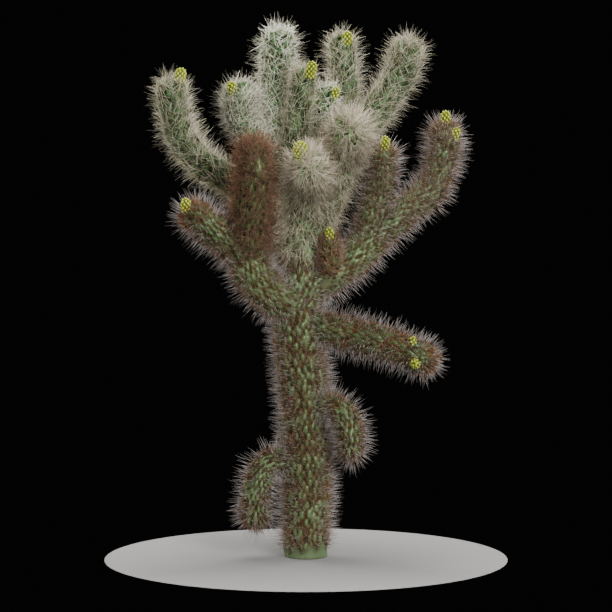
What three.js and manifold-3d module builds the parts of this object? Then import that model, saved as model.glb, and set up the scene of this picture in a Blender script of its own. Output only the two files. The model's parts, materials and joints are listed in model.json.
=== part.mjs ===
// Cholla cactus: an upright trunk that forks into spiny arms, each limb a closed solid of its own.
// Millimetres, +Z up. The origin is the centre of the flat cut at ground level. +X is to the right and
// -Y towards the side that the plant is looked at from.

import * as THREE from 'three';
import Module from 'manifold-3d';

// Driving dimensions
const SKIN_GAP = 0.3;             // clear space between a limb's foot and the limb that carries it
const TUBERCLE_RISE = 4;          // how far the middle of a tubercle stands out of its lattice
const ROW_PITCH = 28;             // from one row of lattice points to the next, along a limb
const TUBERCLE_WIDTH = 32;        // across one tubercle, round a limb
const FEWEST_AROUND = 6;          // tubercles round the thinnest limbs and the buds
const TIP_ROUNDING = 0.95;        // height of a rounded tip, as a share of the limb's radius
const TIP_ANGLES = [34, 64, 86];  // rows round a limb's tip, in degrees up from where the body ends
const BARE_RIM = 24;              // smooth skin just above the cut at the ground
const SPINE_LENGTH = [21, 29];    // shortest and longest spine
const SPINE_FOOT = 1.9;           // from a spine's axis to the corners of its three-sided foot
const SPINE_SINK = 1;             // how far below its tubercle's peak that foot lies
const SPINE_LEAN = 0.25;          // how far spines lean towards the limb's tip
const SPINE_SCATTER = 0.45;       // how far spines stray from that, either way
const SPINED_SHARE = 0.65;        // share of the tubercles that carry a spine
const SPINE_CLEARANCE = 6;        // least distance between two spines
const SPINE_MARGIN = 4;           // least distance from a spine to another limb
const SPINE_PROBES = [0, 0.15, 0.3, 0.5, 0.7, 0.85, 1];   // shares of a spine's length that are tried
const GROUND_CLEARANCE = 1;       // least height of a spine's tip
const SPINE_SEED = 1187;
const FRAME_STEPS = 120;          // steps of the frames carried along a limb's axis
const ROOM_STEP = 6;              // distance between the places where a limb's room is measured

// Coats: the colour that spines and skin give together
const COATS = {
  trunk: '#6f6a4b',
  green: '#7c7a55',
  straw: '#b3a988',
  tan: '#a08e70',
  russet: '#7a5a42',
};

// Limbs. Each grows from its parent's axis, at a share of the parent's length, through the points given.
// The radius is a list of values evenly spaced from foot to tip. A limb with a bend turns round a wide
// gap, and is made as two pieces that meet there, at that share of its length.
const LIMBS = [
  { name: 'trunk', coat: 'trunk', radius: [43, 46, 46, 44], foot: [0, 0, 0],
    through: [[0, 0, 272], [-17, 0, 482], [-9, 5, 624]] },

  { name: 'lower_left_arm', parent: 'trunk', at: 0.29, coat: 'green', radius: [23, 24, 25], bend: 0.5,
    through: [[-75, -14, 187], [-97, -22, 137], [-100, -24, 61]] },
  { name: 'lower_right_arm', parent: 'trunk', at: 0.46, coat: 'green', radius: [22, 23, 24], bend: 0.55,
    through: [[58, -44, 301], [84, -64, 265], [86, -68, 199]] },
  { name: 'back_low_arm', parent: 'trunk', at: 0.53, coat: 'green', radius: [26, 28],
    through: [[-6, 85, 345], [-4, 160, 400], [4, 190, 490]] },
  { name: 'mid_right_arm', parent: 'trunk', at: 0.75, coat: 'green', radius: [31, 29],
    through: [[79, -16, 446], [175, -38, 420], [253, -55, 385]] },
  { name: 'back_left_arm', parent: 'trunk', at: 0.77, coat: 'green', radius: [28, 29],
    through: [[-52, 110, 555], [-78, 195, 660]] },

  { name: 'left_limb', parent: 'trunk', at: 0.8, coat: 'green', radius: [37, 36],
    through: [[-81, -52, 533], [-127, -80, 608]] },
  { name: 'left_low_arm', parent: 'left_limb', at: 0.86, coat: 'green', radius: [29, 30],
    through: [[-177, -94, 644], [-234, -104, 688]] },
  { name: 'left_front_arm', parent: 'left_limb', at: 0.84, coat: 'russet', radius: [31, 33, 31, 22],
    through: [[-106, -100, 682], [-99, -116, 747], [-103, -124, 817]] },

  { name: 'right_limb', parent: 'trunk', at: 0.84, coat: 'green', radius: [34, 34],
    through: [[79, 12, 584], [148, 22, 651]] },
  { name: 'right_outer_arm', parent: 'right_limb', at: 0.88, coat: 'green', radius: [29, 26], bend: 0.52,
    through: [[199, 32, 691], [250, 42, 734], [277, 44, 799], [283, 40, 872]] },
  { name: 'right_inner_arm', parent: 'right_limb', at: 0.72, coat: 'green', radius: [25, 23],
    through: [[147, -4, 732], [155, -26, 818]] },
  { name: 'right_small_arm', parent: 'right_limb', at: 0.38, coat: 'green', radius: [20, 20],
    through: [[47, -36, 590], [46, -54, 638]] },

  { name: 'leader', parent: 'trunk', at: 0.95, coat: 'straw', radius: [32, 33, 33, 33, 33, 33, 25, 31, 31],
    through: [[-40, 42, 735], [-69, 66, 880], [-51, 78, 1066]] },
  { name: 'leader_left_arm', parent: 'leader', at: 0.44, coat: 'straw', radius: [34, 36],
    through: [[-121, 46, 874], [-132, 32, 950]] },
  { name: 'leader_front_arm', parent: 'leader', at: 0.31, coat: 'straw', radius: [23, 22],
    through: [[-20, 4, 852], [-3, -10, 973]] },
  { name: 'back_high_arm', parent: 'trunk', at: 0.88, coat: 'straw', radius: [28, 29],
    through: [[-16, 100, 610], [-40, 180, 690], [-38, 210, 810]] },
  { name: 'back_right_arm', parent: 'trunk', at: 0.86, coat: 'straw', radius: [28, 29],
    through: [[4, 110, 600], [14, 185, 680], [44, 208, 790]] },
  { name: 'far_left_arm', parent: 'trunk', at: 0.94, coat: 'straw', radius: [28, 28], bend: 0.6,
    through: [[-134, 70, 738], [-216, 94, 796], [-262, 104, 861], [-280, 108, 969]] },

  { name: 'back_right_limb', parent: 'trunk', at: 0.95, coat: 'straw', radius: [32, 32],
    through: [[42, 58, 720], [91, 88, 849]] },
  { name: 'top_inner_arm', parent: 'back_right_limb', at: 0.9, coat: 'straw', radius: [25, 24],
    through: [[81, 108, 950], [73, 120, 1061]] },
  { name: 'top_outer_arm', parent: 'back_right_limb', at: 0.9, coat: 'straw', radius: [28, 30],
    through: [[150, 96, 908], [197, 98, 984], [210, 94, 1047]] },
  { name: 'small_inner_arm', parent: 'back_right_limb', at: 0.66, coat: 'straw', radius: [22, 23],
    through: [[34, 44, 890], [42, 32, 946]] },

  { name: 'centre_right_arm', parent: 'trunk', at: 0.95, coat: 'tan', radius: [26, 31, 36, 36],
    through: [[38, -34, 712], [76, -86, 812], [88, -152, 848]] },
  { name: 'front_arm', parent: 'trunk', at: 0.94, coat: 'tan', radius: [36, 38],
    through: [[-5, -50, 690], [4, -114, 752], [7, -165, 777]] },
];

// Buds: the young shoots on the arms. Each has its foot under the skin, at a spot given from a place on
// the arm's axis, and grows upwards and away from that axis. A bud with no lift grows straight outwards.
const BUD_RADIUS = 10;
const BUD_LENGTH = 34;
const BUD_SPLAY = 0.6;
const BUD_TIP_ANGLES = [48];
const BUD_SWELL = [0.75, 1, 1, 0.85];
const BUDS = [
  { arm: 'far_left_arm', at: 1, spot: [15, -9, -12] },
  { arm: 'leader_left_arm', at: 1, spot: [-13, -17, -28], size: 0.85 },
  { arm: 'leader_front_arm', at: 1, spot: [9, -14, -20], size: 0.95 },
  { arm: 'top_inner_arm', at: 1, spot: [8, -17, -27], size: 0.95 },
  { arm: 'front_arm', at: 1, spot: [-12, 9, -6], size: 1.25 },
  { arm: 'right_inner_arm', at: 1, spot: [1, -8, -10], size: 0.8 },
  { arm: 'right_outer_arm', at: 1, spot: [-1, -8, -8], size: 0.85 },
  { arm: 'right_outer_arm', at: 1, spot: [15, -15, -36], size: 0.7 },
  { arm: 'left_low_arm', at: 1, spot: [2, -12, -8], size: 0.8 },
  { arm: 'right_small_arm', at: 1, spot: [0, -5, -10], size: 0.75 },
  { arm: 'small_inner_arm', at: 1, spot: [-19, -6, -36], size: 0.7 },
  { arm: 'small_inner_arm', at: 1, spot: [13, -9, -28], size: 0.7 },
  { arm: 'mid_right_arm', at: 0.83, spot: [0, -18, 14], size: 0.6 },
  { arm: 'mid_right_arm', at: 0.83, spot: [2, -16, -18], size: 0.8, lift: 0 },
  { arm: 'back_low_arm', at: 1, spot: [8, 9, -12], size: 0.85 },
  { arm: 'back_left_arm', at: 1, spot: [-7, 10, -10], size: 0.8 },
  { arm: 'back_high_arm', at: 1, spot: [-6, 9, -12], size: 0.9 },
  { arm: 'back_right_arm', at: 1, spot: [12, 12, -20], size: 0.85 },
  { arm: 'top_outer_arm', at: 1, spot: [-6, 16, -24], size: 0.9 },
];

const wasm = await Module();
wasm.setup();

const vector = ([x, y, z]) => new THREE.Vector3(x, y, z);

// A stem is the axis of a limb or bud, with its length, its radii and the frames carried along it.
function makeStem(points, radius, tipAngles) {
  const curve = new THREE.CatmullRomCurve3(points, false, 'centripetal');
  return {
    curve,
    radius,
    tipAngles,
    length: curve.getLength(),
    frames: curve.computeFrenetFrames(FRAME_STEPS, false),
  };
}

function bodyRadius(stem, along) {
  const place = THREE.MathUtils.clamp(along / stem.length, 0, 1) * (stem.radius.length - 1);
  const step = Math.min(Math.floor(place), stem.radius.length - 2);
  return THREE.MathUtils.lerp(stem.radius[step], stem.radius[step + 1], place - step);
}

const tipHeight = (stem) => TIP_ROUNDING * stem.radius.at(-1);

// Radius with the rounded tip taken into account
function outerRadius(stem, along) {
  const intoTip = (along - (stem.length - tipHeight(stem))) / tipHeight(stem);
  const rounding = intoTip > 0 ? Math.sqrt(Math.max(0, 1 - intoTip * intoTip)) : 1;
  return bodyRadius(stem, along) * rounding;
}

function frameAt(stem, along) {
  const share = THREE.MathUtils.clamp(along / stem.length, 0, 1);
  const tangent = stem.curve.getTangentAt(share);
  const across = stem.frames.normals[Math.round(share * FRAME_STEPS)].clone();
  across.addScaledVector(tangent, -across.dot(tangent)).normalize();
  return {
    centre: stem.curve.getPointAt(share),
    tangent,
    across,
    aside: new THREE.Vector3().crossVectors(tangent, across),
  };
}

// Points evenly spaced along a stem, with the radius there: the room that other limbs' spines keep out of
function roomOf(stem) {
  const count = Math.ceil(stem.length / ROOM_STEP);
  return Array.from({ length: count + 1 }, (_, i) => {
    const along = (i / count) * stem.length;
    return { along, centre: stem.curve.getPointAt(i / count), radius: outerRadius(stem, along) };
  });
}

// Rows of lattice points from one place on a stem to another. A row is a ring, and the last rows of a
// piece that ends in the stem's tip close round it.
function rowsOf(stem, start, end, grow) {
  const tipped = end === stem.length;
  const bodyEnd = tipped ? stem.length - tipHeight(stem) : end;
  const steps = Math.max(2, Math.round((bodyEnd - start) / ROW_PITCH));
  const rows = [];
  for (let i = 0; i <= steps; i += 1) {
    const along = THREE.MathUtils.lerp(start, bodyEnd, i / steps);
    rows.push({ ...frameAt(stem, along), along, radius: bodyRadius(stem, along) + grow });
  }
  if (!tipped) {
    return rows;
  }
  for (const degrees of stem.tipAngles) {
    const angle = THREE.MathUtils.degToRad(degrees);
    const along = bodyEnd + tipHeight(stem) * Math.sin(angle);
    rows.push({ ...frameAt(stem, along), along, radius: bodyRadius(stem, along) * Math.cos(angle) + grow });
  }
  return rows;
}

// One tubercle on a diamond of four lattice points: a low pyramid, or one whose top carries a spine
function addTubercle(skin, [bottom, right, top, left], middle, normal, rise, spine) {
  if (!spine) {
    const peak = skin.points.push(middle.clone().addScaledVector(normal, rise)) - 1;
    skin.faces.push([bottom, right, peak], [right, top, peak], [top, left, peak], [left, bottom, peak]);
    return;
  }
  const up = skin.points[top].clone().sub(skin.points[bottom]).normalize();
  const sideways = new THREE.Vector3().crossVectors(up, normal);
  const seat = middle.clone().addScaledVector(normal, rise - SPINE_SINK);
  const corner = (degrees) => {
    const angle = THREE.MathUtils.degToRad(degrees);
    const point = seat.clone();
    point.addScaledVector(up, SPINE_FOOT * Math.cos(angle));
    point.addScaledVector(sideways, SPINE_FOOT * Math.sin(angle));
    return skin.points.push(point) - 1;
  };
  const upper = corner(0);
  const lowerRight = corner(120);
  const lowerLeft = corner(240);
  const tip = skin.points.push(spine.tip) - 1;
  skin.faces.push(
    [bottom, right, lowerRight], [right, upper, lowerRight], [right, top, upper], [top, left, upper],
    [left, lowerLeft, upper], [left, bottom, lowerLeft], [bottom, lowerRight, lowerLeft],
    [lowerRight, upper, tip], [upper, lowerLeft, tip], [lowerLeft, lowerRight, tip],
  );
}

// The closed skin of one piece of a stem. Alternate rows are turned half a step, so that diamonds tile
// it. Each diamond, and the end of the tip, asks for a spine and may get none.
function makeSkin(stem, { start = 0, end = stem.length, grow = 0, rise, askSpine }) {
  const rows = rowsOf(stem, start, end, grow);
  const widest = Math.max(...stem.radius);
  const count = Math.max(FEWEST_AROUND, Math.round((2 * Math.PI * widest) / TUBERCLE_WIDTH));
  const last = rows.length - 1;
  const skin = { points: [], faces: [] };

  rows.forEach((row, i) => {
    for (let k = 0; k < count; k += 1) {
      const angle = (2 * Math.PI * (k + (i % 2) / 2)) / count;
      const point = row.centre.clone();
      point.addScaledVector(row.across, row.radius * Math.cos(angle));
      point.addScaledVector(row.aside, row.radius * Math.sin(angle));
      skin.points.push(point);
    }
  });
  const at = (i, k) => i * count + ((k + count) % count);
  const rightOf = (i, k) => at(i + 1, k + (i % 2));
  const leftOf = (i, k) => at(i + 1, k + (i % 2) - 1);

  for (let i = 0; i + 2 <= last; i += 1) {
    for (let k = 0; k < count; k += 1) {
      const corners = [at(i, k), rightOf(i, k), at(i + 2, k), leftOf(i, k)];
      const [bottom, right, top, left] = corners.map((index) => skin.points[index]);
      const middle = new THREE.Vector3();
      [bottom, right, top, left].forEach((point) => middle.addScaledVector(point, 0.25));
      const normal = right.clone().sub(left).cross(top.clone().sub(bottom)).normalize();
      const row = rows[i + 1];
      const spine = askSpine?.(middle, normal, row.tangent, row.along, SPINED_SHARE);
      addTubercle(skin, corners, middle, normal, rise(row.along), spine);
    }
  }

  const footCentre = skin.points.push(rows[0].centre.clone()) - 1;
  const endCentre = skin.points.push(rows[last].centre.clone()) - 1;
  if (end === stem.length) {
    const { tangent } = rows[last];
    const pole = stem.curve.getPointAt(1).addScaledVector(tangent, grow);
    const spine = askSpine?.(pole, tangent, tangent, stem.length, 1);
    skin.points[endCentre] = spine ? spine.tip : pole;
  }
  for (let k = 0; k < count; k += 1) {
    skin.faces.push([at(0, k), at(0, k + 1), at(1, k)]);
    skin.faces.push([at(0, k + 1), at(0, k), footCentre]);
    skin.faces.push([at(last, k + 1), at(last, k), at(last - 1, k + (last % 2))]);
    skin.faces.push([at(last, k), at(last, k + 1), endCentre]);
  }
  return skin;
}

function toSolid(skin) {
  const vertProperties = new Float32Array(skin.points.flatMap((point) => point.toArray()));
  const triVerts = new Uint32Array(skin.faces.flat());
  return new wasm.Manifold(new wasm.Mesh({ numProp: 3, vertProperties, triVerts }));
}

function toGeometry(solid) {
  const { numProp, vertProperties, triVerts } = solid.getMesh();
  const geometry = new THREE.BufferGeometry();
  geometry.setAttribute('position', new THREE.BufferAttribute(new Float32Array(vertProperties), numProp));
  geometry.setIndex(new THREE.BufferAttribute(new Uint32Array(triVerts), 1));
  geometry.computeVertexNormals();
  return geometry;
}

const largestPiece = (solid) => solid.decompose().sort((a, b) => b.volume() - a.volume())[0];

// Limbs, each on its parent's axis
const stems = new Map();
for (const limb of LIMBS) {
  const foot = limb.parent ? stems.get(limb.parent).curve.getPointAt(limb.at) : vector(limb.foot);
  const stem = makeStem([foot, ...limb.through.map(vector)], limb.radius, TIP_ANGLES);
  stems.set(limb.name, { ...stem, ...limb, buds: [] });
}

// Buds, each from its foot under the arm's skin
for (const { arm: armName, at, spot, size = 1, lift = 1 } of BUDS) {
  const arm = stems.get(armName);
  const splay = BUD_SPLAY / Math.max(...arm.radius);
  const heading = new THREE.Vector3(spot[0] * splay, spot[1] * splay, lift).normalize();
  const foot = arm.curve.getPointAt(at).add(vector(spot));
  const tip = foot.clone().addScaledVector(heading, BUD_LENGTH * size);
  const radius = BUD_SWELL.map((swell) => swell * BUD_RADIUS * size);
  arm.buds.push(makeStem([foot, tip], radius, BUD_TIP_ANGLES));
}

// Spines keep clear of other limbs, of buds, of each other and of the ground
const rooms = [...stems.values()].flatMap((stem) => [
  { owner: stem, samples: roomOf(stem) },
  ...stem.buds.map((bud) => ({ owner: bud, samples: roomOf(bud) })),
]);
const spines = [];

function meetsLimb(probes, owner, along) {
  const reach = SPINE_LENGTH[1] + 2 * Math.max(...owner.radius);
  return rooms.some((room) => room.samples.some((sample) => {
    if (room.owner === owner && Math.abs(sample.along - along) < reach) {
      return false;
    }
    return probes.some((probe) => probe.distanceTo(sample.centre) < sample.radius + SPINE_MARGIN);
  }));
}

function meetsSpine(probes) {
  return spines.some((other) => {
    if (other.probes[0].distanceTo(probes[0]) > 2 * SPINE_LENGTH[1]) {
      return false;
    }
    return other.probes.some((a) => probes.some((b) => a.distanceTo(b) < SPINE_CLEARANCE));
  });
}

const scatter = () => SPINE_SCATTER * (2 * THREE.MathUtils.seededRandom() - 1);

function growSpine(stem, middle, normal, tangent, along, share) {
  const chance = THREE.MathUtils.seededRandom();
  const direction = normal.clone().addScaledVector(tangent, SPINE_LEAN);
  direction.add(new THREE.Vector3(scatter(), scatter(), scatter())).normalize();
  const length = THREE.MathUtils.lerp(...SPINE_LENGTH, THREE.MathUtils.seededRandom());
  if (chance > share || middle.z < BARE_RIM) {
    return undefined;
  }
  const probes = SPINE_PROBES.map((place) => middle.clone().addScaledVector(direction, length * place));
  const tip = probes.at(-1);
  if (tip.z < GROUND_CLEARANCE || meetsLimb(probes, stem, along) || meetsSpine(probes)) {
    return undefined;
  }
  spines.push({ probes });
  return { tip };
}

// Pieces of a limb: the whole of it, or the two sides of its bend
function piecesOf(stem) {
  if (!stem.bend) {
    return [{ name: stem.name, start: 0, end: stem.length }];
  }
  const middle = stem.bend * stem.length;
  return [
    { name: `${stem.name}_base`, start: 0, end: middle - SKIN_GAP / 2 },
    { name: `${stem.name}_end`, start: middle + SKIN_GAP / 2, end: stem.length },
  ];
}

// The solids, from the trunk outwards: a limb's foot is cut to fit every limb made before it
THREE.MathUtils.seededRandom(SPINE_SEED);
const budRise = () => TUBERCLE_RISE / 2;
const cactus = new THREE.Group();
const sleeves = [];
for (const stem of stems.values()) {
  const rise = (along) => (stem.name === 'trunk' && along < BARE_RIM ? 0 : TUBERCLE_RISE);
  const askSpine = (...place) => growSpine(stem, ...place);
  for (const { name, start, end } of piecesOf(stem)) {
    let solid = toSolid(makeSkin(stem, { start, end, rise, askSpine }));
    if (end === stem.length) {
      stem.buds.forEach((bud) => {
        solid = solid.add(toSolid(makeSkin(bud, { rise: budRise })));
      });
    }
    for (const sleeve of sleeves) {
      solid = solid.subtract(sleeve);
    }
    const material = new THREE.MeshStandardMaterial({ color: COATS[stem.coat], roughness: 0.85, metalness: 0 });
    const mesh = new THREE.Mesh(toGeometry(largestPiece(solid)), material);
    mesh.name = name;
    cactus.add(mesh);
    sleeves.push(toSolid(makeSkin(stem, { start, end, grow: SKIN_GAP, rise })));
  }
  stem.buds.forEach((bud) => sleeves.push(toSolid(makeSkin(bud, { grow: SKIN_GAP, rise: budRise }))));
}

export default cactus;
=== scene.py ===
"""Cholla cactus: skin with tubercles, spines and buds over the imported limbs. Metres, +Z up."""

import json
import math
from collections import namedtuple

import bpy
import numpy as np
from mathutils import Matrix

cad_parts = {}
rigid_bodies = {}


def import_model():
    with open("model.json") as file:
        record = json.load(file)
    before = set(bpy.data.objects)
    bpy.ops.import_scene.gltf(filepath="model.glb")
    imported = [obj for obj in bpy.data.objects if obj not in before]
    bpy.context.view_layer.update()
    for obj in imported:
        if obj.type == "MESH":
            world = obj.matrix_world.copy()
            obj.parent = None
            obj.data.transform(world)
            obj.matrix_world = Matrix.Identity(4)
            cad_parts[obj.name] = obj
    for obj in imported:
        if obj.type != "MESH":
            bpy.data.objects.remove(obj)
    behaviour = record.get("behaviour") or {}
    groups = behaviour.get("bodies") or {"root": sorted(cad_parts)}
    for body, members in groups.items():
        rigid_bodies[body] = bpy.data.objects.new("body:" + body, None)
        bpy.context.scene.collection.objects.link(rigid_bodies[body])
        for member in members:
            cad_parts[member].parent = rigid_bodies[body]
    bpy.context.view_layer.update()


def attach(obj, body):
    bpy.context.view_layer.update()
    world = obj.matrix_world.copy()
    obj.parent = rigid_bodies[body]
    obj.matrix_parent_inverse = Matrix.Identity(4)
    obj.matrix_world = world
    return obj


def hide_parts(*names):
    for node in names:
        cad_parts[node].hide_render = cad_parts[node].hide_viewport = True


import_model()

MM = 0.001
TURN = 2 * math.pi
ODD_WAY = np.array((0.31, 0.95, 0.05))          # a direction that no limb follows
SEED = 1187
random = np.random.default_rng(SEED)

# Skin
TIP_ROUNDING = 0.95             # height of a rounded tip, as a share of the limb's radius
STEP_ROUND = 2.4 * MM           # between neighbouring points of the skin, round a limb
STEP_ALONG = 3.1 * MM           # and along it
DENSE_COATS = ("white", "pale", "straw", "tan", "russet")   # their spines hide most of the skin
DENSE_COAT_STEP = 1.35          # how many times further apart the points of the skin under them are
TIP_OPENING = 0.4               # from the last ring of points to the limb's end, as a share of a step
TIP_MOUND = 0.5                 # how far up a tubercle the limb's end counts as
PROBE_STEP = 6 * MM             # between the places where a limb's room is measured
PROBES_ROUND = 24               # places round a limb where it is tried whether its skin is hidden
HIDDEN_SHARE = 0.8              # skin inside this share of the carrying limb's radius is left out
SWELLING = 0.025                # how much a limb's thickness wanders, as a share of its radius
SWELLING_LENGTH = 90 * MM       # length of one such swelling
BARE_SMOOTHNESS = 0.65          # how much flatter and plainer the tubercles of bare skin are
BARE_LIMIT = 0.5                # no spines stand on skin that is barer than this

# Bare rim of the trunk, just above the cut at the ground
BARE_RIM = 18 * MM              # its height
RIM_END = 1.5                   # where the last of it fades out, as a share of that height
RIM_LEAN = 0.35                 # how much lower it is on its low side, as a share
RIM_LOW_SIDE = 0.3              # angle of that side round the trunk, in radians
RIM_WAVES = 9                   # waves of its upper edge
RIM_WAVE_HEIGHT = 0.3           # their height, as a share
RIM_WAVE_START = 2              # where they start, in radians

# Bare patch in the fork of the right limb
BARE_SPOT = np.array((39, -22, 546)) * MM
BARE_SPOT_RADIUS = 7 * MM
SPOT_END = 2                    # where the last of it fades out, as a share of that radius

# Tubercles: a staggered lattice with so much room across and along for each, their height, by how many
# of them the lattice turns round the limb in a metre, and how far each strays, as a share of its room
Lattice = namedtuple("Lattice", "across along height twist stray")
ARM_TUBERCLES = Lattice(12 * MM, 11 * MM, 4.2 * MM, 7.0, 0.2)
SLIM_TUBERCLES = Lattice(10 * MM, 10 * MM, 3.8 * MM, 7.0, 0.2)
TRUNK_TUBERCLES = Lattice(12.5 * MM, 12 * MM, 4.4 * MM, 3.0, 0.2)
LATTICES = {                    # by coat, where it isn't that of most arms
    "trunk": TRUNK_TUBERCLES,
    "clear": SLIM_TUBERCLES,
    "green": SLIM_TUBERCLES,
    "brown": SLIM_TUBERCLES,
}
STRAY_ALONG = 1.5               # how many times more of its room it strays along the limb than round it
ROWS_TRIED = (-1, 0, 1, 2)      # rows whose tubercles may reach a place, from the row that it lies in
TUBERCLE_HALF_WIDTH = 0.47      # as a share of its room across
TUBERCLE_SKEW = 0.65            # how much its upper end stands out further than its lower one
TUBERCLE_SIZES = (0.62, 1.1)    # least and most height, as a share
SUNK_SHARE = 0.45               # share of a tubercle's height that lies below the limb's radius
AREOLE_PLACE = 0.3              # from its middle up to its areole, as a share of its room along
AREOLE_HEIGHT = 0.3             # from the limb's radius out to its areole, as a share of its height

# Spines, which stand on the areoles of the tubercles
SIDE_SLOPE = 0.8                # how much lower a spine's foot is by its distance from its areole's middle
SPINE_ROUGHNESS = 0.5
FEWEST_AT_TIP = 0.38            # share of the areoles that is kept where they crowd together round a tip
CROWDING_PLACES = (0, 0.55, 1)  # shares of a limb's length where its coat tells how its spines crowd
LENGTH_SPREAD = 2.0             # above 1, more of the spines are short
BUD_CLEARING = 1.1              # no spines stand this near to a bud's axis, as a share of its radius
LOWEST_TIP = 1 * MM             # least height of a spine's tip above the ground

# Limbs, as the solids have them, in millimetres. Each grows from its parent's axis, at a share of the
# parent's length, through the points given. A bent limb has two solids, a base and an end.
Limb = namedtuple("Limb", "name parent at coat radii points bent", defaults=(False,))
LIMBS = [
    Limb("trunk", None, 0, "trunk", (43, 46, 46, 44),
         [(0, 0, 0), (0, 0, 272), (-17, 0, 482), (-9, 5, 624)]),

    Limb("lower_left_arm", "trunk", 0.29, "green", (23, 24, 25),
         [(-75, -14, 187), (-97, -22, 137), (-100, -24, 61)], True),
    Limb("lower_right_arm", "trunk", 0.46, "green", (22, 23, 24),
         [(58, -44, 301), (84, -64, 265), (86, -68, 199)], True),
    Limb("back_low_arm", "trunk", 0.53, "green", (26, 28), [(-6, 85, 345), (-4, 160, 400), (4, 190, 490)]),
    Limb("mid_right_arm", "trunk", 0.75, "brown", (31, 29),
         [(79, -16, 446), (175, -38, 420), (253, -55, 385)]),
    Limb("back_left_arm", "trunk", 0.77, "green", (28, 29), [(-52, 110, 555), (-78, 195, 660)]),

    Limb("left_limb", "trunk", 0.8, "clear", (37, 36), [(-81, -52, 533), (-127, -80, 608)]),
    Limb("left_low_arm", "left_limb", 0.86, "brown", (29, 30), [(-177, -94, 644), (-234, -104, 688)]),
    Limb("left_front_arm", "left_limb", 0.84, "russet", (31, 33, 31, 22),
         [(-106, -100, 682), (-99, -116, 747), (-103, -124, 817)]),

    Limb("right_limb", "trunk", 0.84, "clear", (34, 34), [(79, 12, 584), (148, 22, 651)]),
    Limb("right_outer_arm", "right_limb", 0.88, "dusty", (29, 26),
         [(199, 32, 691), (250, 42, 734), (277, 44, 799), (283, 40, 872)], True),
    Limb("right_inner_arm", "right_limb", 0.72, "dusty", (25, 23), [(147, -4, 732), (155, -26, 818)]),
    Limb("right_small_arm", "right_limb", 0.38, "fuzzy", (20, 20), [(47, -36, 590), (46, -54, 638)]),

    Limb("leader", "trunk", 0.95, "white", (32, 33, 33, 33, 33, 33, 25, 31, 31),
         [(-40, 42, 735), (-69, 66, 880), (-51, 78, 1066)]),
    Limb("leader_left_arm", "leader", 0.44, "pale", (34, 36), [(-121, 46, 874), (-132, 32, 950)]),
    Limb("leader_front_arm", "leader", 0.31, "straw", (23, 22), [(-20, 4, 852), (-3, -10, 973)]),
    Limb("back_high_arm", "trunk", 0.88, "straw", (28, 29),
         [(-16, 100, 610), (-40, 180, 690), (-38, 210, 810)]),
    Limb("back_right_arm", "trunk", 0.86, "straw", (28, 29),
         [(4, 110, 600), (14, 185, 680), (44, 208, 790)]),
    Limb("far_left_arm", "trunk", 0.94, "straw", (28, 28),
         [(-134, 70, 738), (-216, 94, 796), (-262, 104, 861), (-280, 108, 969)], True),

    Limb("back_right_limb", "trunk", 0.95, "straw", (32, 32), [(42, 58, 720), (91, 88, 849)]),
    Limb("top_inner_arm", "back_right_limb", 0.9, "straw", (25, 24), [(81, 108, 950), (73, 120, 1061)]),
    Limb("top_outer_arm", "back_right_limb", 0.9, "straw", (28, 30),
         [(150, 96, 908), (197, 98, 984), (210, 94, 1047)]),
    Limb("small_inner_arm", "back_right_limb", 0.66, "white", (22, 23), [(34, 44, 890), (42, 32, 946)]),

    Limb("centre_right_arm", "trunk", 0.95, "tan", (26, 31, 36, 36),
         [(38, -34, 712), (76, -86, 812), (88, -152, 848)]),
    Limb("front_arm", "trunk", 0.94, "tan", (36, 38), [(-5, -50, 690), (4, -114, 752), (7, -165, 777)]),
]

# Buds, as the solids have them, in millimetres. Each foot is at a spot given from a place on the arm's
# axis. A bud grows upwards and away from that axis, and one with no lift straight outwards.
Bud = namedtuple("Bud", "arm at spot size lift", defaults=(1, 1))
BUD_RADIUS = 10
BUD_LENGTH = 34
BUD_SPLAY = 0.6                 # how far a bud leans away from the axis
BUD_SWELL = (0.75, 1, 1, 0.85)  # its radius from foot to tip, as shares
BUD_STEP = 1.2 * MM             # between neighbouring points of a bud's skin
KNOB_SPACING = 5.4 * MM         # between the knobs on a bud, round it
KNOB_STRETCH = 1.5              # how many times longer a knob is than wide
KNOB_HEIGHT = 5.2 * MM
KNOB_REACH = 0.52               # from a knob's middle to its edge, as a share of the spacing
LEAST_GIRTH = 0.1               # least girth of a bud that is counted near its tip, as a share
GOLDEN_ANGLE = math.pi * (3 - math.sqrt(5))     # turn from each knob to the next, up a bud
BUDS = [
    Bud("far_left_arm", 1, (15, -9, -12)),
    Bud("leader_left_arm", 1, (-13, -17, -28), 0.85),
    Bud("leader_front_arm", 1, (9, -14, -20), 0.95),
    Bud("top_inner_arm", 1, (8, -17, -27), 0.95),
    Bud("front_arm", 1, (-12, 9, -6), 1.25),
    Bud("right_inner_arm", 1, (1, -8, -10), 0.8),
    Bud("right_outer_arm", 1, (-1, -8, -8), 0.85),
    Bud("right_outer_arm", 1, (15, -15, -36), 0.7),
    Bud("left_low_arm", 1, (2, -12, -8), 0.8),
    Bud("right_small_arm", 1, (0, -5, -10), 0.75),
    Bud("small_inner_arm", 1, (-19, -6, -36), 0.7),
    Bud("small_inner_arm", 1, (13, -9, -28), 0.7),
    Bud("mid_right_arm", 0.83, (0, -18, 14), 0.6),
    Bud("mid_right_arm", 0.83, (2, -16, -18), 0.8, 0),
    Bud("back_low_arm", 1, (8, 9, -12), 0.85),
    Bud("back_left_arm", 1, (-7, 10, -10), 0.8),
    Bud("back_high_arm", 1, (-6, 9, -12), 0.9),
    Bud("back_right_arm", 1, (12, 12, -20), 0.85),
    Bud("top_outer_arm", 1, (-6, 16, -24), 0.9),
]

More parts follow.
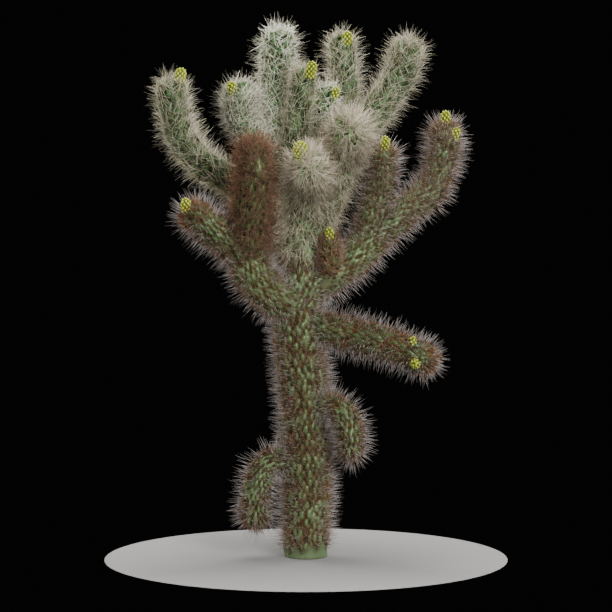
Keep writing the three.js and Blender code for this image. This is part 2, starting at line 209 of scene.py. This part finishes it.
# Coats: a slot, which only sets the coat's pieces apart from the stage's, the colours of its skin, how
# many times as many spines as usual it has at its foot, past its middle and at its tip, and its kinds of
# spine.
# A kind has so many spines on each areole, a range of lengths in millimetres, a range of degrees from
# upright, a lean along the skin towards the limb's tip, or below zero towards its foot, a largest distance
# in millimetres from the middle of the areole, and its parts.
# A part runs between two shares of the spine's length, has a thickness in millimetres where it starts and
# another where it ends, and tints that are dealt out by chance.
Spines = namedtuple("Spines", "kind count length angle lean stray parts")
Part = namedtuple("Part", "name start end thickness end_thickness tints")
Coat = namedtuple("Coat", "slot skin crowding spines")
# Skin colours between the tubercles, on their slopes and on their crests: the low colour holds painted
# shade, the crest colour a painted highlight
Skin = namedtuple("Skin", "valley slope crest")
FINE_POINT = 0.12               # thickness of a fine point
SHAFT_SHARE = 0.42              # share of a sheathed spine's length up to its sheath
SHAFT_THICKNESS = 0.45
SHAFT_TINTS = ("#6c4a2e", "#7e5b3b", "#4b3521")
SHEATH_TINTS = ("#a49b95", "#bab2ad", "#867d78")


def even(thickness, *tints):
    """The one part of a spine in a single colour that thins to half."""
    return [Part("spines", 0, 1, thickness, thickness / 2, tints)]


def pointed(thickness, *tints):
    """The one part of a spine in a single colour that thins to a fine point."""
    return [Part("spines", 0, 1, thickness, FINE_POINT, tints)]


def sheathed(thickness):
    """The two parts of a spine with a brown shaft and a papery sheath round the rest of it."""
    return [Part("shafts", 0, SHAFT_SHARE, SHAFT_THICKNESS, SHAFT_THICKNESS, SHAFT_TINTS),
            Part("sheaths", SHAFT_SHARE, 1, thickness, FINE_POINT, SHEATH_TINTS)]


BROWN_SPINES = even(0.5, "#865636", "#a4734b", "#472d1b")
HALO_SPINES = Spines("long", 6, (13, 39), (0, 24), 0.1, 9, sheathed(0.75))     # pale ones that stand out
COATS = {
    "trunk": Coat("trunk", Skin("#2f2317", "#443a24", "#6b7f56"), (1, 1, 1), [
        Spines("short", 10, (14, 34), (78, 92), 1.5, 3, BROWN_SPINES),
        HALO_SPINES._replace(count=10, length=(13, 34), parts=sheathed(0.6)),
    ]),
    "clear": Coat("green_arms", Skin("#382c1b", "#4f4d2f", "#758f63"), (1, 1, 1), [
        Spines("short", 6, (12, 28), (78, 92), 1.2, 3, BROWN_SPINES),
        HALO_SPINES._replace(count=5),
    ]),
    "green": Coat("green_arms", Skin("#2b2015", "#3d3522", "#728b60"), (1.6, 1, 1.4), [
        Spines("short", 6, (12, 28), (75, 92), 1.5, 3, BROWN_SPINES),
        HALO_SPINES,
    ]),
    "brown": Coat("green_arms", Skin("#2e2216", "#37321f", "#576d48"), (1, 1, 1.1), [
        Spines("short", 7, (14, 30), (75, 92), 1.5, 3, BROWN_SPINES),
        HALO_SPINES._replace(count=5),
    ]),
    "dusty": Coat("green_arms", Skin("#35291a", "#413c27", "#677c55"), (0.9, 1.2, 1.8), [
        Spines("short", 10, (14, 30), (72, 90), 1.0, 4, even(0.6, "#7e634a", "#977c60", "#523e2d")),
        HALO_SPINES,
    ]),
    "fuzzy": Coat("green_arms", Skin("#36271a", "#423420", "#58693f"), (1, 1, 1.4), [
        Spines("short", 18, (12, 26), (50, 90), 0.8, 3, even(0.75, "#916a4d", "#a98666", "#63472f")),
        Spines("long", 5, (8, 24), (0, 40), 0.6, 4, sheathed(0.85)),
    ]),
    "white": Coat("straw_arms", Skin("#10150c", "#2e4024", "#668a59"), (1.5, 1.3, 0.9), [
        Spines("short", 3, (20, 38), (65, 88), 0.1, 2, even(1.2, "#f4f1da", "#fffdf0", "#aaa786")),
        Spines("long", 5, (12, 42), (0, 40), 0.2, 6, pointed(0.52, "#f2eedb", "#d6d2bc", "#a8a48c")),
    ]),
    "pale": Coat("straw_arms", Skin("#1e2418", "#3c4a30", "#66845a"), (1.2, 1, 0.95), [
        Spines("short", 7, (18, 36), (55, 88), 0.5, 3, even(0.85, "#dcd6c0", "#f4efdd", "#a29c84")),
        Spines("long", 6, (10, 40), (0, 40), 0.2, 6, pointed(0.65, "#dcd7c6", "#bcb6a6", "#9b9585")),
    ]),
    "straw": Coat("straw_arms", Skin("#12160d", "#2a3720", "#567349"), (1, 1, 1.2), [
        Spines("short", 4, (20, 42), (65, 88), 1.0, 3, even(0.8, "#bdb594", "#ded8bc", "#7a7252")),
        Spines("long", 6, (10, 40), (0, 40), 0.2, 6, pointed(0.52, "#c8c3b2", "#a8a394", "#878272")),
    ]),
    "tan": Coat("tan_arms", Skin("#2c3320", "#5c6f46", "#95b281"), (0.7, 0.6, 1.8), [
        Spines("short", 4, (22, 42), (50, 86), -0.2, 3, even(0.8, "#ccbea7", "#8a7c62", "#e8ddc8")),
        Spines("long", 5, (24, 43), (0, 50), -0.6, 5, even(0.8, "#c6b8a0", "#7f725a", "#dfd3bc")),
    ]),
    "russet": Coat("russet_arm", Skin("#21170c", "#3a341c", "#5f7648"), (1.6, 1, 2), [
        Spines("short", 7, (18, 42), (55, 88), 0.6, 3, even(0.75, "#674937", "#8a684f", "#3c281b")),
        Spines("long", 5, (14, 44), (0, 55), 0.1, 5, pointed(0.95, "#694c39", "#87674f")),
    ]),
}
# Bud colours: darker between the knobs as painted shade, palest on their tops as a painted highlight, over
# the buds' own yellow-green
BUD_SKIN = Skin("#5c6714", "#b3be34", "#f8f98c")

# Finish of the skin
# The skin's colour by height up a tubercle: painted shade low down, a painted highlight at the crest, over
# the skin's own greens and browns
VALLEY_PLACE = 0.25             # how far up a tubercle the valley's colour lies
SLOPE_PLACE = 0.6               # and the slope's
CREST_PLACE = 0.98              # and the crest's
BARE_COLOUR = "#788d66"
PATCH_SCALE = 38                # dry patches, by how many of them fit into a metre
PATCH_DETAIL = 4
PATCH_EDGES = (0.48, 0.72)      # values of the noise where a patch starts and where it is driest
PATCH_DRYNESS = (0, 0.55)       # how far the colour turns to the valley's there
GRAIN_SCALE = 900               # fine grain, likewise
GRAIN_DETAIL = 2
GRAIN_STRENGTH = 0.25
GRAIN_DEPTH = 0.4 * MM
GLOSS_PLACES = (0.3, 0.9)       # how far up a tubercle its gloss starts and is full
GLOSS_ROUGHNESS = (0.8, 0.25)   # roughness there
GLINT_COLOUR = "#c4eab2"

# Stage, in metres
CAMERA_DISTANCE = 3.2
CAMERA_HEIGHT = 0.5
FRAME_WIDTH = 1.224             # width of the picture at the trunk
SENSOR_WIDTH = 36               # in millimetres
FLOOR_RADIUS = 0.4
FLOOR_SIDES = 96
FLOOR_DROP = 0.5 * MM           # from the cut under the trunk down to the floor
FLOOR_COLOUR = (0.42, 0.41, 0.4, 1)
FLOOR_ROUGHNESS = 0.9
WORLD_COLOUR = (0.002, 0.002, 0.002, 1)
LIGHT_AIM = np.array((0, 0, 0.6))
LIGHTS = {                      # place, width, power in watts, and whether it glints on the skin
    "front": ((1.1, -2.9, 1.3), 1.3, 110, True),
    "fill": ((-1.4, -2.8, 0.7), 1.6, 10, False),
    "top": ((0.0, 0.2, 2.9), 1.6, 85, False),
    "left": ((-2.5, 2.1, 0.4), 1.8, 165, False),
    "right": ((2.5, 2.1, 0.4), 1.8, 150, False),
}


def unit(vectors):
    """Vectors brought to a length of 1."""
    return vectors / np.linalg.norm(vectors, axis=-1, keepdims=True)


def smooth_line(points, steps=60):
    """A smooth line through the points: the centripetal Catmull-Rom curve that the solids follow."""
    points = np.asarray(points, float)
    padded = np.vstack([2 * points[0] - points[1], points, 2 * points[-1] - points[-2]])
    t = np.linspace(0, 1, steps, endpoint=False)[:, None]
    line = []
    for p0, p1, p2, p3 in zip(padded, padded[1:], padded[2:], padded[3:]):
        d0, d1, d2 = (math.sqrt(np.linalg.norm(b - a)) for a, b in ((p0, p1), (p1, p2), (p2, p3)))
        leave = ((p1 - p0) / d0 - (p2 - p0) / (d0 + d1) + (p2 - p1) / d1) * d1
        arrive = ((p2 - p1) / d1 - (p3 - p1) / (d1 + d2) + (p3 - p2) / d2) * d1
        line.append(p1 + leave * t + (3 * (p2 - p1) - 2 * leave - arrive) * t ** 2
                    + (2 * (p1 - p2) + leave + arrive) * t ** 3)
    return np.vstack(line + [points[-1:]])


class Stem:
    """The axis of a limb or bud with frames carried along it, and the rounded surface round it."""

    def __init__(self, points, radii):
        self.centres = smooth_line(points)
        steps = np.linalg.norm(np.diff(self.centres, axis=0), axis=1)
        self.along = np.concatenate([[0], np.cumsum(steps)])
        self.length = self.along[-1]
        self.radii = np.asarray(radii, float)
        self.tangents = unit(np.gradient(self.centres, self.along, axis=0))
        self.across = self.carry_frame()
        self.tip_height = TIP_ROUNDING * self.radii[-1]
        self.body = self.length - self.tip_height
        self.surface_length = self.body + self.tip_height * math.pi / 2

    def carry_frame(self):
        """A direction across the axis at each place, turned no more than the axis itself turns."""
        across = [unit(np.cross(self.tangents[0], ODD_WAY))]
        for tangent in self.tangents[1:]:
            across.append(unit(across[-1] - tangent * np.dot(across[-1], tangent)))
        return np.array(across)

    def sample(self, table, along):
        return np.stack([np.interp(along, self.along, column) for column in table.T], axis=-1)

    def radius(self, along):
        return np.interp(along / self.length, np.linspace(0, 1, len(self.radii)), self.radii)

    def point(self, share):
        return self.sample(self.centres, np.array(share * self.length))

    def rise(self, arc):
        """Angle up the rounded tip, from 0 on the body to a quarter turn at the very end."""
        return np.clip((arc - self.body) / (self.surface_length - self.body), 0, 1) * math.pi / 2

    def surface(self, arc, angle, height):
        """Points at a distance along the surface and an angle round it, raised by a height, with the
        outward direction there and the direction of the axis."""
        rise = self.rise(arc)
        along = np.minimum(arc, self.body) + self.tip_height * np.sin(rise)
        tangent = unit(self.sample(self.tangents, along))
        across = unit(self.sample(self.across, along))
        aside = np.cross(tangent, across)
        radial = across * np.cos(angle)[..., None] + aside * np.sin(angle)[..., None]
        cosine, sine = np.cos(rise)[..., None], np.sin(rise)[..., None]
        outward = radial * cosine + tangent * sine
        ring = radial * self.radius(along)[..., None] * cosine
        return self.sample(self.centres, along) + ring + outward * height[..., None], outward, tangent

    def holds(self, points, share=1.0):
        """Which of the points lie inside this stem, or within a share of its radius."""
        inside = np.zeros(len(points), bool)
        for along in np.arange(0, self.body + PROBE_STEP, PROBE_STEP):
            centre = self.point(min(along, self.body) / self.length)
            inside |= np.linalg.norm(points - centre, axis=1) < self.radius(along) * share
        return inside


class Knobs:
    """The knobs of a bud, on a golden spiral from its foot to its tip."""

    def __init__(self, stem):
        self.stem = stem
        self.height = KNOB_HEIGHT
        arc = 0.0
        arcs = []
        while arc < stem.surface_length:
            arcs.append(arc)
            round_here = TURN * stem.radii.max() * max(LEAST_GIRTH, math.cos(stem.rise(arc)))
            arc += KNOB_SPACING ** 2 * KNOB_STRETCH / round_here
        arcs = np.array(arcs)
        self.places, _, _ = stem.surface(arcs, np.arange(len(arcs)) * GOLDEN_ANGLE, np.zeros_like(arcs))

    def heights(self, arc, angle):
        """How high the knobs stand at places on the surface, from 0 to 1."""
        points, _, _ = self.stem.surface(arc, angle, np.zeros_like(arc))
        nearest = np.full(arc.shape, np.inf)
        for place in self.places:
            apart = points - place
            up = (apart @ self.stem.tangents[0])[..., None] * self.stem.tangents[0]
            nearest = np.minimum(nearest, np.linalg.norm(apart - up + up / KNOB_STRETCH, axis=-1))
        return np.clip(1 - (nearest / (KNOB_SPACING * KNOB_REACH)) ** 2, 0, 1)


class Tubercles:
    """A lattice of tubercles on a stem, with every other row shifted by half a tubercle's room, and each
    tubercle a little out of place and out of size."""

    def __init__(self, stem, lattice):
        self.lattice = lattice
        self.height = lattice.height
        self.count = round(TURN * stem.radii.max() / lattice.across)
        self.rows = int(stem.surface_length / lattice.along)
        shape = (self.rows + len(ROWS_TRIED), self.count)
        self.stray_round = random.uniform(-1, 1, shape) * lattice.stray
        self.stray_along = random.uniform(-1, 1, shape) * lattice.stray * STRAY_ALONG
        self.size = random.uniform(*TUBERCLE_SIZES, shape)

    def heights(self, arc, angle):
        """How high the tubercles stand at places on the surface, from 0 to a little over 1."""
        place = angle / TURN * self.count + self.lattice.twist * arc
        row_place = arc / self.lattice.along
        height = np.zeros_like(place)
        for step in ROWS_TRIED:
            row = np.floor(row_place).astype(int) + step
            shifted = place - 0.5 * (row % 2)
            column = np.rint(shifted).astype(int)
            spot = (np.clip(row, 0, len(self.size) - 1), column % self.count)
            aside = (shifted - column - self.stray_round[spot]) / TUBERCLE_HALF_WIDTH
            along = row_place - row - self.stray_along[spot]
            mound = np.sqrt(np.clip(1 - aside ** 2 - along ** 2, 0, 1)) * (1 + TUBERCLE_SKEW * along)
            height = np.maximum(height, mound * self.size[spot])
        return height

    def areoles(self):
        """Distance along and angle round of each tubercle's areole."""
        row, column = np.meshgrid(np.arange(self.rows + 1), np.arange(self.count), indexing="ij")
        arc = (row + self.stray_along[row, column] + AREOLE_PLACE) * self.lattice.along
        place = column + 0.5 * (row % 2) + self.stray_round[row, column] - self.lattice.twist * arc
        return arc.ravel(), (place * TURN / self.count).ravel()


def bareness(name, stem, arc, angle):
    """How bare the skin is, from 0 to 1: the trunk's wavy rim, and the patch in the right limb's fork."""
    if name == "trunk":
        lean = RIM_LEAN * np.cos(angle - RIM_LOW_SIDE)
        wave = RIM_WAVE_HEIGHT * np.sin(RIM_WAVES * angle + RIM_WAVE_START)
        return np.clip(RIM_END - arc / (BARE_RIM * (1 - lean + wave)), 0, 1)
    if name == "right_limb":
        places, _, _ = stem.surface(arc, angle, np.zeros_like(arc))
        return np.clip(SPOT_END - np.linalg.norm(places - BARE_SPOT, axis=-1) / BARE_SPOT_RADIUS, 0, 1)
    return np.zeros_like(arc)


def skin_start(stem, parent):
    """Distance along a limb up to which all of its skin is deep inside the limb that carries it."""
    if parent is None:
        return 0.0
    angle = np.linspace(0, TURN, PROBES_ROUND, endpoint=False)
    for arc in np.arange(0, stem.body, PROBE_STEP):
        ring, _, _ = stem.surface(np.full_like(angle, arc), angle, np.zeros_like(angle))
        if not parent.holds(ring, HIDDEN_SHARE).all():
            return arc
    return stem.body


def skin_arrays(name, stem, relief, start, step_round, step_along):
    """Points and faces of the skin of a limb or bud from a start to its tip, with how far up a tubercle or
    knob and how bare each point is."""
    columns = int(TURN * stem.radii.max() / step_round)
    rows = int((stem.surface_length - start) / step_along)
    arc = np.linspace(start, stem.surface_length - step_along * TIP_OPENING, rows)
    arc, angle = np.meshgrid(arc, np.linspace(0, TURN, columns, endpoint=False), indexing="ij")
    bare = bareness(name, stem, arc, angle)
    mound = relief.heights(arc, angle) * (1 - BARE_SMOOTHNESS * bare)
    phase = random.uniform(0, TURN)
    swelling = SWELLING * stem.radii.mean() * np.sin(arc / SWELLING_LENGTH * TURN + phase)
    lift = (mound - SUNK_SHARE) * relief.height + swelling * (1 - bare)
    points, _, _ = stem.surface(arc, angle, lift)
    ends = np.stack([stem.point(start / stem.length), stem.point(1)])
    points = np.vstack([points.reshape(-1, 3), ends])
    mound = np.append(mound, [0, TIP_MOUND])
    bare = np.append(bare, [bare[0, 0], 0])
    return points, tube_faces(rows, columns), mound, bare


def tube_faces(rows, columns):
    """Quads of a tube, and the triangles that close it on its last two points, a foot and a tip."""
    row, column = np.meshgrid(np.arange(rows - 1), np.arange(columns), indexing="ij")
    right = (column + 1) % columns
    corners = (row * columns + column, row * columns + right,
               (row + 1) * columns + right, (row + 1) * columns + column)
    faces = np.stack(corners, axis=-1).reshape(-1, 4).tolist()
    foot_point = rows * columns
    tip_point = foot_point + 1
    last_ring = foot_point - columns
    for point in range(columns):
        following = (point + 1) % columns
        faces.append((following, point, foot_point))
        faces.append((last_ring + point, last_ring + following, tip_point))
    return faces


def make_piece(name, points, faces, material, slot=None):
    """A mesh object of the plant, which rides on its only body, or without a slot a piece of the stage."""
    mesh = bpy.data.meshes.new(name)
    mesh.from_pydata(points, [], faces)
    mesh.materials.append(material)
    mesh.shade_smooth()
    piece = bpy.data.objects.new(name, mesh)
    bpy.context.collection.objects.link(piece)
    if slot is None:
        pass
    else:
        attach(piece, "root")
    return piece


def set_attribute(piece, name, values):
    """A value at each point of a piece, for its material."""
    layer = piece.data.attributes.new(name, "FLOAT", "POINT")
    layer.data.foreach_set("value", values.astype(np.float32))


def linear(hex_colour):
    """An sRGB colour, as it is written for pictures, as the linear values that a shader takes."""
    channels = [int(hex_colour[i:i + 2], 16) / 255 for i in (1, 3, 5)]
    return tuple(c / 12.92 if c <= 0.04045 else ((c + 0.055) / 1.055) ** 2.4 for c in channels) + (1.0,)


def new_material(name):
    material = bpy.data.materials.new(name)
    material.use_nodes = True
    nodes = material.node_tree.nodes
    return material, nodes, material.node_tree.links, nodes["Principled BSDF"]


def noise(nodes, links, place, scale, detail):
    texture = nodes.new("ShaderNodeTexNoise")
    texture.inputs["Scale"].default_value = scale
    texture.inputs["Detail"].default_value = detail
    links.new(place.outputs["Object"], texture.inputs["Vector"])
    return texture


def map_range(nodes, links, texture, start, end):
    """Values of a texture spread over a new range."""
    spread = nodes.new("ShaderNodeMapRange")
    spread.inputs["From Min"].default_value, spread.inputs["From Max"].default_value = start
    spread.inputs["To Min"].default_value, spread.inputs["To Max"].default_value = end
    links.new(texture.outputs["Fac"], spread.inputs["Value"])
    return spread.outputs["Result"]


def mix_towards(nodes, links, colour, amount, other):
    """A colour turned towards another by an amount."""
    mixed = nodes.new("ShaderNodeMix")
    mixed.data_type = "RGBA"
    mixed.inputs["B"].default_value = linear(other)
    links.new(colour, mixed.inputs["A"])
    links.new(amount, mixed.inputs["Factor"])
    return mixed.outputs["Result"]


def skin_material(name, skin):
    """Green skin: dark and brown between the tubercles and pale on their crests, partly the skin's own
    colours and partly painted shade in the grooves and a painted highlight on the crests; mottled all
    over.
    """
    material, nodes, links, shader = new_material(name)
    place = nodes.new("ShaderNodeTexCoord")
    mound = nodes.new("ShaderNodeAttribute")
    mound.attribute_name = "mound"
    bare = nodes.new("ShaderNodeAttribute")
    bare.attribute_name = "bare"

    # Darker low on a tubercle as painted shade, paler at its crest as a painted highlight
    ramp = nodes.new("ShaderNodeValToRGB")
    ramp.color_ramp.elements[0].position = VALLEY_PLACE
    ramp.color_ramp.elements[0].color = linear(skin.valley)
    ramp.color_ramp.elements[1].position = CREST_PLACE
    ramp.color_ramp.elements[1].color = linear(skin.crest)
    ramp.color_ramp.elements.new(SLOPE_PLACE).color = linear(skin.slope)
    links.new(mound.outputs["Fac"], ramp.inputs["Fac"])

    patches = noise(nodes, links, place, PATCH_SCALE, PATCH_DETAIL)
    dryness = map_range(nodes, links, patches, PATCH_EDGES, PATCH_DRYNESS)
    mottled = mix_towards(nodes, links, ramp.outputs["Color"], dryness, skin.valley)
    cleared = mix_towards(nodes, links, mottled, bare.outputs["Fac"], BARE_COLOUR)
    links.new(cleared, shader.inputs["Base Color"])

    roughness = map_range(nodes, links, mound, GLOSS_PLACES, GLOSS_ROUGHNESS)
    links.new(roughness, shader.inputs["Roughness"])
    shader.inputs["Specular Tint"].default_value = linear(GLINT_COLOUR)

    grain = noise(nodes, links, place, GRAIN_SCALE, GRAIN_DETAIL)
    bump = nodes.new("ShaderNodeBump")
    bump.inputs["Strength"].default_value = GRAIN_STRENGTH
    bump.inputs["Distance"].default_value = GRAIN_DEPTH
    links.new(grain.outputs["Fac"], bump.inputs["Height"])
    links.new(bump.outputs["Normal"], shader.inputs["Normal"])
    return material


def spine_material(name, colour):
    """Spines in one plain tint."""
    material, _, _, shader = new_material(name)
    shader.inputs["Base Color"].default_value = linear(colour)
    shader.inputs["Roughness"].default_value = SPINE_ROUGHNESS
    return material


def grow_spines(areoles, spines):
    """Feet, headings and lengths of one kind of spine round the areoles, turned and tilted by chance."""
    seat, outward, onward = (np.repeat(values, spines.count, axis=0) for values in areoles)
    amount = len(seat)
    tilt = np.radians(random.uniform(*spines.angle, (amount, 1)))
    turn = random.uniform(0, TURN, (amount, 1))
    sideways = unit(np.cross(outward, ODD_WAY))
    flat = sideways * np.cos(turn) + np.cross(outward, sideways) * np.sin(turn)
    tipward = onward - outward * np.sum(onward * outward, axis=1, keepdims=True)
    heading = unit(outward * np.cos(tilt) + flat * np.sin(tilt) + tipward * spines.lean)
    foot = seat + (flat - SIDE_SLOPE * outward) * spines.stray * MM * random.random((amount, 1))
    shortest, longest = spines.length
    length = (shortest + (longest - shortest) * random.random((amount, 1)) ** LENGTH_SPREAD) * MM
    clear = (foot + heading * length)[:, 2] > LOWEST_TIP
    return foot[clear], heading[clear], length[clear]


def spike_arrays(foot, heading, length, part):
    """Corners of a thin spike for a part of each spine: three where it starts, and the two ends of a
    chisel tip."""
    start = foot + heading * length * part.start
    end = foot + heading * length * part.end
    first = unit(np.cross(heading, ODD_WAY))
    second = np.cross(heading, first)
    corners = [start + (first * math.cos(angle) + second * math.sin(angle)) * part.thickness * MM / 2
               for angle in (0, TURN / 3, 2 * TURN / 3)]
    tip = [end + first * side * part.end_thickness * MM / 2 for side in (1, -1)]
    return np.stack(corners + tip, axis=1)


def make_stems():
    """The stems of all limbs, by name."""
    stems = {}
    for limb in LIMBS:
        foot = [] if limb.parent is None else [stems[limb.parent].point(limb.at)]
        stems[limb.name] = Stem(np.vstack(foot + [np.array(limb.points) * MM]), np.array(limb.radii) * MM)
    return stems


def make_bud_stems(stems):
    """The stems of all buds, each from its foot on an arm."""
    bud_stems = []
    for bud in BUDS:
        arm = stems[bud.arm]
        spot = np.array(bud.spot) * MM
        splay = BUD_SPLAY / arm.radii.max()
        heading = unit(np.array((spot[0] * splay, spot[1] * splay, bud.lift)))
        foot = arm.point(bud.at) + spot
        tip = foot + heading * BUD_LENGTH * bud.size * MM
        bud_stems.append(Stem(np.vstack([foot, tip]), np.array(BUD_SWELL) * BUD_RADIUS * bud.size * MM))
    return bud_stems


def make_limb_skin(limb, stem, tubercles, start, material):
    """The skin of a limb, in place of its solids."""
    step = DENSE_COAT_STEP if limb.coat in DENSE_COATS else 1
    points, faces, mound, bare = skin_arrays(
        limb.name, stem, tubercles, start, STEP_ROUND * step, STEP_ALONG * step)
    skin = make_piece(f"{limb.name}_skin", points, faces, material, COATS[limb.coat].slot)
    set_attribute(skin, "mound", mound)
    set_attribute(skin, "bare", bare * BARE_SMOOTHNESS)
    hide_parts(*((f"{limb.name}_base", f"{limb.name}_end") if limb.bent else (limb.name,)))


def limb_areoles(limb, stem, tubercles, start, obstacles):
    """Seats, outward directions and axes at a limb's areoles, each as often as its coat's crowding asks.
    An obstacle is a stem, with the share of its radius inside which no spines stand."""
    arc, angle = tubercles.areoles()
    crowded = random.random(len(arc)) > np.maximum(np.cos(stem.rise(arc)), FEWEST_AT_TIP)
    clad = bareness(limb.name, stem, arc, angle) < BARE_LIMIT
    kept = (arc > start) & (arc < stem.surface_length) & clad & ~crowded
    arc, angle = arc[kept], angle[kept]
    places = stem.surface(arc, angle, np.full_like(arc, AREOLE_HEIGHT * tubercles.height))
    hidden = np.zeros(len(arc), bool)
    for obstacle, share in obstacles:
        hidden |= obstacle.holds(places[0], share)
    crowding = np.interp(arc / stem.surface_length, CROWDING_PLACES, COATS[limb.coat].crowding)
    times = np.where(hidden, 0, np.floor(crowding + random.random(len(arc)))).astype(int)
    return [np.repeat(values, times, axis=0) for values in places]


def make_limbs(stems, bud_stems):
    """The skins of all limbs. Returns the areoles of each coat, limb by limb."""
    materials = {name: skin_material(f"{name}_skin", coat.skin) for name, coat in COATS.items()}
    areoles = {name: [] for name in COATS}
    for limb in LIMBS:
        stem = stems[limb.name]
        tubercles = Tubercles(stem, LATTICES.get(limb.coat, ARM_TUBERCLES))
        start = skin_start(stem, stems.get(limb.parent))
        make_limb_skin(limb, stem, tubercles, start, materials[limb.coat])
        obstacles = [(other, 1) for other in stems.values() if other is not stem]
        obstacles += [(bud_stem, BUD_CLEARING) for bud_stem in bud_stems]
        areoles[limb.coat].append(limb_areoles(limb, stem, tubercles, start, obstacles))
    return areoles


def make_spines(areoles):
    """All spines, each part and tint of a kind in a coat as one piece."""
    for coat_name, coat in COATS.items():
        coat_areoles = [np.vstack(values) for values in zip(*areoles[coat_name])]
        for spines in coat.spines:
            grown = grow_spines(coat_areoles, spines)
            for part in spines.parts:
                name = f"{coat_name}_{spines.kind}_{part.name}"
                make_spikes(name, spike_arrays(*grown, part), part.tints, coat.slot)


def make_spikes(name, spikes, tints, slot):
    """Spikes from their corners, dealt out by chance to a piece for each tint."""
    spike_faces = np.array([(0, 1, 3), (1, 4, 3), (1, 2, 4), (2, 3, 4), (2, 0, 3)])
    corner_count = spikes.shape[1]
    tint_of = random.integers(0, len(tints), len(spikes))
    for tint, colour in enumerate(tints):
        chosen = spikes[tint_of == tint]
        faces = (spike_faces + corner_count * np.arange(len(chosen))[:, None, None]).reshape(-1, 3)
        piece = f"{name}_{tint + 1}"
        make_piece(piece, chosen.reshape(-1, 3), faces.tolist(), spine_material(piece, colour), slot)


def make_buds(bud_stems):
    """All buds as one knobbly piece."""
    points, faces, mounds = [], [], []
    for stem in bud_stems:
        bud_points, bud_faces, mound, _ = skin_arrays("bud", stem, Knobs(stem), 0, BUD_STEP, BUD_STEP)
        first = sum(len(earlier) for earlier in points)
        faces += [[first + corner for corner in face] for face in bud_faces]
        points.append(bud_points)
        mounds.append(mound)
    buds = make_piece("buds", np.vstack(points), faces, skin_material("bud_skin", BUD_SKIN), "green_arms")
    set_attribute(buds, "mound", np.concatenate(mounds))


def make_floor():
    angles = np.linspace(0, TURN, FLOOR_SIDES, endpoint=False)
    ring = [(FLOOR_RADIUS * math.cos(a), FLOOR_RADIUS * math.sin(a), -FLOOR_DROP) for a in angles]
    material, _, _, shader = new_material("floor")
    shader.inputs["Base Color"].default_value = FLOOR_COLOUR
    shader.inputs["Roughness"].default_value = FLOOR_ROUGHNESS
    make_piece("floor", ring, [list(range(len(ring)))], material)


def make_light(name, place, width, power, glints):
    light = bpy.data.lights.new(name, "AREA")
    light.shape = "DISK"
    light.size = width
    light.energy = power
    lamp = bpy.data.objects.new(name, light)
    lamp.location = place
    aim = LIGHT_AIM - np.array(place)
    lamp.rotation_euler = (math.acos(-aim[2] / np.linalg.norm(aim)), 0, math.atan2(-aim[0], aim[1]))
    lamp.visible_camera = False
    lamp.visible_glossy = glints
    bpy.context.collection.objects.link(lamp)


def make_world():
    world = bpy.data.worlds.new("studio")
    world.use_nodes = True
    world.node_tree.nodes["Background"].inputs["Color"].default_value = WORLD_COLOUR
    bpy.context.scene.world = world


def make_camera():
    camera = bpy.data.cameras.new("camera")
    camera.sensor_width = SENSOR_WIDTH
    camera.lens = SENSOR_WIDTH * CAMERA_DISTANCE / FRAME_WIDTH
    holder = bpy.data.objects.new("camera", camera)
    holder.location = (0, -CAMERA_DISTANCE, CAMERA_HEIGHT)
    holder.rotation_euler = (math.pi / 2, 0, 0)
    bpy.context.collection.objects.link(holder)
    bpy.context.scene.camera = holder


limb_stems = make_stems()
bud_stems = make_bud_stems(limb_stems)
make_spines(make_limbs(limb_stems, bud_stems))
make_buds(bud_stems)
make_floor()
for light_name, settings in LIGHTS.items():
    make_light(light_name, *settings)
make_world()
make_camera()
